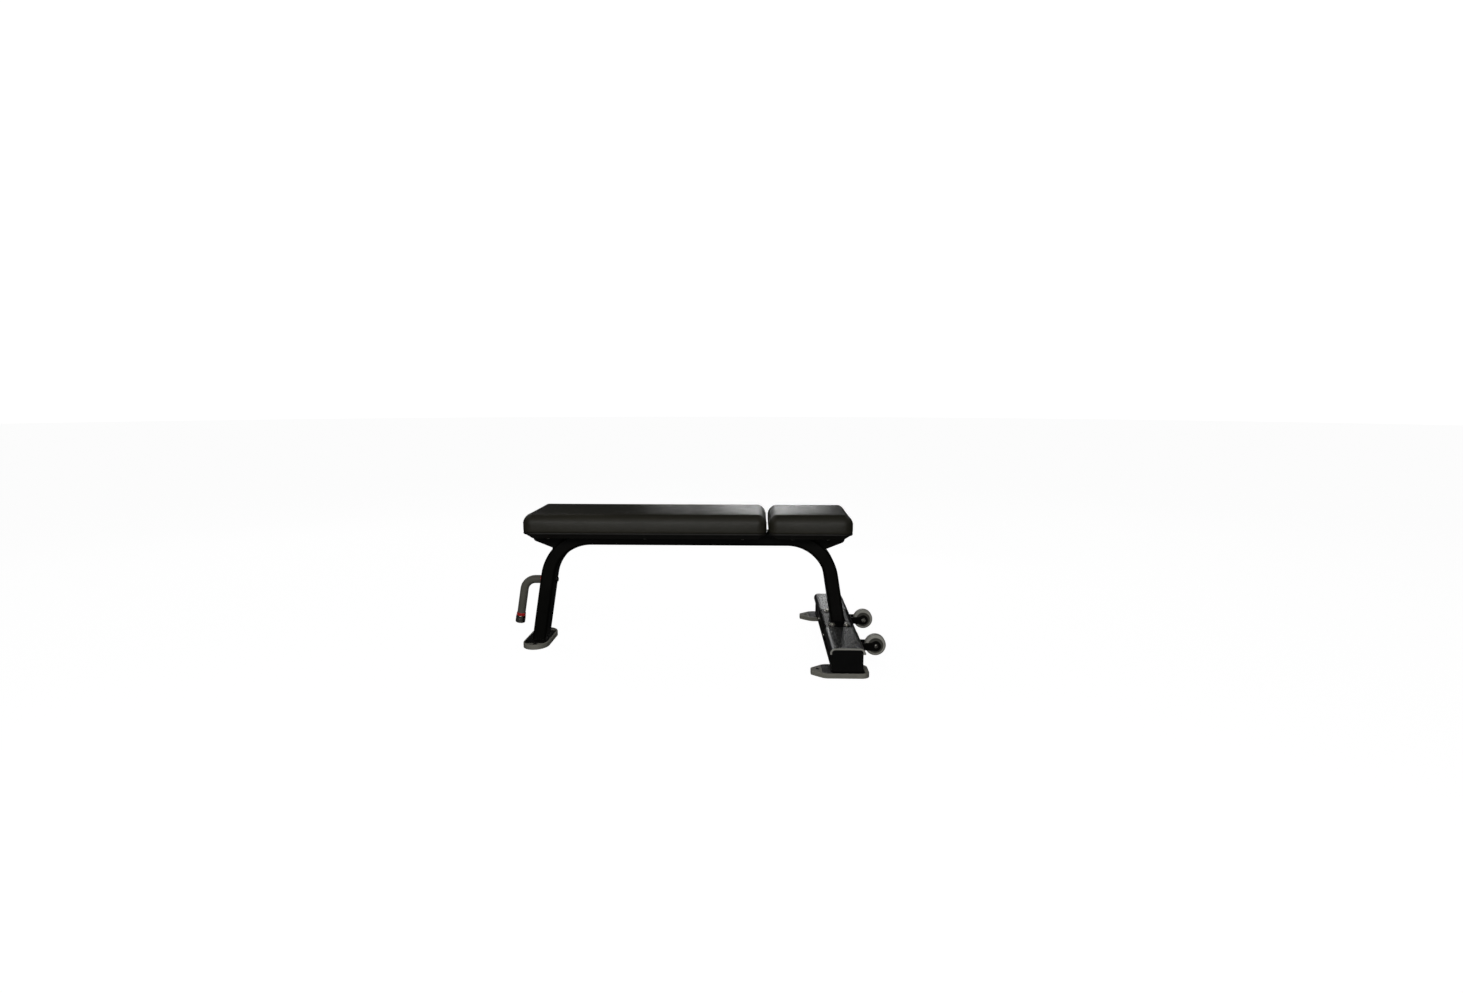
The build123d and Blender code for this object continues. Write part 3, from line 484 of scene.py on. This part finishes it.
def swell(piece, low, high):
    """Blow the vinyl out over its foam, with its seam, crease and underside held."""
    held = piece.vertex_groups.new(name="held")
    hem = low.z + 4.5 * MM
    seam = low.z + SIDE_TOP - 0.8 * MM
    crease = high.z - CREASE_DROP
    for vertex in piece.data.vertices:
        near_seam = abs(vertex.co.z - seam) < 0.4 * MM
        on_crease = abs(vertex.co.z - crease) < 0.05 * MM
        if vertex.co.z < hem or near_seam or on_crease:
            held.add([vertex.index], 1.0, "REPLACE")
    start = [vertex.co.copy() for vertex in piece.data.vertices]
    cloth = piece.modifiers.new("cloth", "CLOTH")
    cloth.settings.quality = 6
    cloth.settings.mass = 0.3
    cloth.settings.tension_stiffness = 25
    cloth.settings.compression_stiffness = 25
    cloth.settings.shear_stiffness = 12
    cloth.settings.bending_stiffness = 4
    cloth.settings.vertex_group_mass = "held"
    cloth.settings.use_pressure = True
    cloth.settings.uniform_pressure_force = 4
    cloth.settings.effector_weights.gravity = 0
    cloth.collision_settings.use_collision = False
    cloth.point_cache.frame_start = 1
    cloth.point_cache.frame_end = SWELL_FRAMES
    scene = bpy.context.scene
    for moment in range(1, SWELL_FRAMES + 1):
        scene.frame_set(moment)
    apply_modifiers(piece)
    scene.frame_set(1)
    for vertex, before in zip(piece.data.vertices, start):
        push = vertex.co - before
        if push.length > STILL:
            vertex.co = before + push.normalized() * SWELL_CAP * math.tanh(push.length / SWELL_CAP)


def gather(piece, low, high):
    """Faint tension folds where the vinyl is drawn round the lower corners."""
    normals = [vertex.normal.copy() for vertex in piece.data.vertices]
    for vertex, normal in zip(piece.data.vertices, normals):
        x = min(vertex.co.x - low.x, high.x - vertex.co.x)
        y = min(vertex.co.y - low.y, high.y - vertex.co.y)
        up = vertex.co.z - low.z
        if not 2 * MM < up < SIDE_TOP - 3 * MM:
            continue
        near = math.exp(-((x + y) / (45 * MM)) ** 2)
        height = math.sin(math.pi * (up - 2 * MM) / (SIDE_TOP - 5 * MM)) * math.exp(-up / (16 * MM))
        fold = math.sin((vertex.co.x - vertex.co.y) / (2.6 * MM))
        fold += 0.6 * math.sin((vertex.co.x + vertex.co.y) / (3.7 * MM))
        vertex.co += normal * FOLD_DEPTH * near * height * fold


def stitching(name, low, high):
    """A row of short thread stitches that follows the upper seam."""
    z = low.z + SIDE_TOP - STITCH_DROP
    path = ring_points(low, high, 0.0, z, STITCH_COUNTS)
    path.append(path[0].copy())
    mesh = bmesh.new()
    travelled = 0.0
    for begin, end in zip(path, path[1:]):
        span = (end - begin).length
        along = (end - begin).normalized()
        outward = along.cross(Vector((0, 0, 1)))
        while travelled < span:
            middle = begin + along * travelled + outward * 0.15 * MM
            stitch(mesh, middle, along, outward)
            travelled += STITCH_PITCH
        travelled -= span
    return smooth_object(name, mesh)


def stitch(mesh, middle, along, outward):
    """One stitch: a spindle of thread whose ends sink into the vinyl."""
    half, thickness, sides = 1.55 * MM, 0.42 * MM, 6
    up = outward.cross(along)
    rings = []
    for place, size, sink in ((-1, 0.35, 0.45), (-0.6, 0.95, 0.1), (0.6, 0.95, 0.1), (1, 0.35, 0.45)):
        centre = middle + along * half * place - outward * sink * MM
        ring = []
        for index in range(sides):
            turn = math.tau * index / sides
            spoke = up * math.cos(turn) + outward * math.sin(turn)
            ring.append(mesh.verts.new(centre + spoke * thickness * size))
        rings.append(ring)
    tube(mesh, rings)


def cushion(node, pad):
    """A tight upholstered pad: crowned top, rolled edge, sewn seam and upright sides."""
    low, high = box_of(node)
    piece = pad_shell(f"{pad}_upholstery", low, high)
    swell(piece, low, high)
    refine = piece.modifiers.new("refine", "SUBSURF")
    refine.levels = refine.render_levels = 1
    apply_modifiers(piece)
    gather(piece, low, high)
    dress(piece, "pad_vinyl")
    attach(piece, "root")
    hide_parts(node)
    seam = stitching(f"{pad}_stitching", low, high)
    seam.data.materials.append(materials["thread"])
    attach(seam, "root")


cushion("long_pad_cushion", "long_pad")
cushion("short_pad_cushion", "short_pad")


# ---------------------------------------------------------------- welds

LEAN = math.radians(9)         # each leg leans out
TUBE_THICK = 44 * MM
TUBE_HALF_DEPTH = 40 * MM
TUBE_CORNER = 9 * MM
BEND_RADIUS = 146 * MM
WELD = 2.6 * MM                # radius of a weld bead
RIPPLE = 2.4 * MM              # spacing of its ripples
RIPPLE_STEPS = 4
WELD_SIDES = 8
OFF_AXIS = Vector((0.31, 0.17, 0.93))      # along no bead's path
ARC_STEPS = 40


def resampled(path, step):
    """Points a fixed step apart along a path."""
    points = [path[0].copy()]
    spare = 0.0
    for begin, end in zip(path, path[1:]):
        span = (end - begin).length
        place = step - spare
        while place <= span:
            points.append(begin.lerp(end, place / span))
            place += step
        spare = span - (place - step)
    return points


def weld_bead(name, path, closed=False):
    """A bead of overlapping ripples along a path."""
    points = resampled(path + path[:1] if closed else path, RIPPLE / RIPPLE_STEPS)
    mesh = bmesh.new()
    rings = []
    for index, point in enumerate(points):
        after = points[min(index + 1, len(points) - 1)]
        before = points[max(index - 1, 0)]
        along = (after - before).normalized()
        across = along.cross(OFF_AXIS).normalized()
        lift = along.cross(across)
        wave = abs(math.sin(math.pi * index / RIPPLE_STEPS))
        size = WELD * (0.84 + 0.16 * wave + 0.05 * math.sin(index * 0.37))
        ring = []
        for step in range(WELD_SIDES):
            turn = math.tau * step / WELD_SIDES
            ring.append(mesh.verts.new(point + (across * math.cos(turn) + lift * math.sin(turn)) * size))
        rings.append(ring)
    tube(mesh, rings)
    bead = smooth_object(name, mesh)
    dress(bead, "frame_steel")
    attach(bead, "root")


def leg_outline(middle_x, z):
    """The outline of a leg where it is cut level."""
    half_x = TUBE_THICK / 2 / math.cos(LEAN) - TUBE_CORNER
    half_y = TUBE_HALF_DEPTH - TUBE_CORNER
    points = []
    for index, (along, across) in enumerate(((1, 1), (-1, 1), (-1, -1), (1, -1))):
        for step in range(7):
            turn = math.radians(90 * index + 15 * step)
            x = middle_x + along * half_x + TUBE_CORNER * math.cos(turn)
            y = across * half_y + TUBE_CORNER * math.sin(turn)
            points.append(Vector((x, y, z)))
    return points


def arc(centre, radius, first, last, y):
    """Points on an arc in a plane across Y, from one angle to another above +X."""
    points = []
    for step in range(ARC_STEPS + 1):
        turn = math.radians(first + (last - first) * step / ARC_STEPS)
        x, z = centre[0] + radius * math.cos(turn), centre[1] + radius * math.sin(turn)
        points.append(Vector((x, y, z)))
    return points


def welds():
    """Beads at the legs, the gussets and the ends of the crossbar."""
    tube_low, tube_high = box_of("main_frame_tube")
    plate_top = box_of("front_foot_plate")[1].z
    saddle_top = box_of("saddle_bracket")[1].z
    half_leg = TUBE_THICK / 2 / math.cos(LEAN)
    front_x, rear_x = tube_low.x + half_leg, tube_high.x - half_leg
    weld_bead("front_leg_weld", leg_outline(front_x, plate_top), closed=True)
    weld_bead("rear_leg_weld", leg_outline(rear_x, saddle_top), closed=True)
    middle_z = tube_high.z - TUBE_THICK / 2
    setback = BEND_RADIUS * math.tan((math.pi / 2 - LEAN) / 2)
    front_bend = front_x + (middle_z - plate_top) * math.tan(LEAN) + setback
    rear_bend = rear_x - (middle_z - saddle_top) * math.tan(LEAN) - setback
    outer = BEND_RADIUS + TUBE_THICK / 2
    for name, bend_x, angles in (("front", front_bend, (109, 139)), ("rear", rear_bend, (71, 43))):
        low, high = box_of(f"{name}_gusset")
        for side, y in (("left", low.y), ("right", high.y)):
            path = arc((bend_x, middle_z - BEND_RADIUS), outer, *angles, y)
            weld_bead(f"{name}_gusset_weld_{side}", path)
    bar_low, bar_high = box_of("crossbar_tube")
    for side in ("left", "right"):
        low, high = box_of(f"rear_foot_plate_{side}")
        ends = max(low.y + 4 * MM, bar_low.y), min(high.y - 4 * MM, bar_high.y)
        for edge, x in (("front", bar_low.x), ("rear", bar_high.x)):
            path = [Vector((x, y, high.z)) for y in ends]
            weld_bead(f"rear_foot_weld_{side}_{edge}", path)


welds()


# ---------------------------------------------------------------- stage, light and camera

FLOOR_REACH = 30
FLOOR_LEVEL = -0.5 * MM        # just clear of the feet, so the two surfaces don't flicker
DOME_RADIUS = 28
CAMERA_PLACE = (0.1927, -2.7838, 0.8220)
CAMERA_TURN = (-1.552, 6.854, 0.058)       # yaw to the right, pitch down and roll, in degrees
SENSOR_WIDTH = 36
LENS = 21.162


def camera_only(item):
    """Seen by the camera, but neither lights nor mirrors in the object."""
    item.visible_diffuse = False
    item.visible_glossy = False
    item.visible_transmission = False
    item.visible_shadow = False


def plain(name, colour, glow):
    """A pale matt stage material with a little glow of its own."""
    material = bpy.data.materials.new(name)
    material.use_nodes = True
    surface = material.node_tree.nodes["Principled BSDF"]
    surface.inputs["Base Color"].default_value = (*colour, 1)
    surface.inputs["Roughness"].default_value = 1.0
    surface.inputs["Specular IOR Level"].default_value = 0.0
    surface.inputs["Emission Color"].default_value = (1, 1, 1, 1)
    surface.inputs["Emission Strength"].default_value = glow
    return material


def stage():
    """A pale floor inside a pale dome."""
    floor_mesh = bpy.data.meshes.new("floor")
    signs = ((-1, -1), (1, -1), (1, 1), (-1, 1))
    corners = [(x * FLOOR_REACH, y * FLOOR_REACH, FLOOR_LEVEL) for x, y in signs]
    floor_mesh.from_pydata(corners, [], [(0, 1, 2, 3)])
    floor = add_object("floor", floor_mesh)
    floor_mesh.materials.append(plain("floor_white", (0.16, 0.16, 0.16), 0.97))
    mesh = bmesh.new()
    bmesh.ops.create_uvsphere(mesh, u_segments=48, v_segments=24, radius=DOME_RADIUS)
    dome_mesh = bpy.data.meshes.new("dome")
    mesh.to_mesh(dome_mesh)
    mesh.free()
    dome = add_object("dome", dome_mesh)
    dome_mesh.materials.append(plain("dome_white", (0, 0, 0), 1.03))
    camera_only(floor)
    camera_only(dome)


def softbox(name, place, aim, size, power):
    """A rectangular area light."""
    data = bpy.data.lights.new(name, "AREA")
    data.shape = "RECTANGLE"
    data.size, data.size_y = size
    data.energy = power
    item = add_object(name, data)
    item.location = place
    item.rotation_euler = (Vector(aim) - Vector(place)).to_track_quat("-Z", "Y").to_euler()
    item.visible_camera = False


def world(strength):
    """Even dim surroundings."""
    surroundings = bpy.data.worlds.new("studio")
    surroundings.use_nodes = True
    back = surroundings.node_tree.nodes["Background"]
    back.inputs["Color"].default_value = (1, 1, 1, 1)
    back.inputs["Strength"].default_value = strength
    bpy.context.scene.world = surroundings


def camera():
    """The photograph's viewpoint."""
    yaw, pitch, roll = (math.radians(angle) for angle in CAMERA_TURN)
    level = math.cos(pitch)
    forward = Vector((math.sin(yaw) * level, math.cos(yaw) * level, -math.sin(pitch)))
    side = Vector((math.cos(yaw), -math.sin(yaw), 0))
    up = side.cross(forward)
    right = side * math.cos(roll) + up * math.sin(roll)
    up = right.cross(forward)
    data = bpy.data.cameras.new("camera")
    data.sensor_fit = "HORIZONTAL"
    data.sensor_width = SENSOR_WIDTH
    data.lens = LENS
    item = add_object("camera", data)
    turn = Matrix((right, up, -forward)).transposed().to_4x4()
    item.matrix_world = Matrix.Translation(CAMERA_PLACE) @ turn
    bpy.context.scene.camera = item


stage()
world(0.016)
softbox("low_front", (-0.2, -4.0, 0.7), (0, 0, 0.2), (3.0, 0.6), 9)
softbox("front", (-0.2, -3.6, 1.7), (0, 0, 0.3), (2.8, 0.8), 33)
softbox("high", (0.0, -2.2, 3.0), (0, 0, 0.4), (2.6, 0.9), 4)
softbox("pad_shine", (0.27, 1.7, 0.69), (0.27, 0, 0.445), (0.44, 0.08), 1.2)
softbox("pad_glow", (0.16, 1.72, 0.7), (0.16, 0, 0.445), (0.98, 0.06), 0.9)
softbox("cover_shine", (0.6, 1.6, 0.4), (0.47, 0.25, 0.085), (0.16, 0.08), 0.3)
softbox("left_glint", (-2.6, 2.3, 1.3), (-0.5, -0.1, 0.43), (0.6, 0.6), 1.5)
softbox("left_side", (-2.6, 0.3, 2.6), (0, 0, 0.4), (0.8, 0.8), 1.5)
softbox("right_side", (2.9, 0.3, 2.6), (0, 0, 0.4), (0.8, 0.8), 1.5)
softbox("back_fill", (-2.2, 2.4, 2.9), (0, 0, 0.25), (1.6, 0.9), 7)
softbox("back_fill_right", (2.6, 2.4, 2.5), (0.3, 0, 0.2), (1.2, 0.9), 5)
camera()
bpy.context.scene.view_settings.view_transform = "Standard"
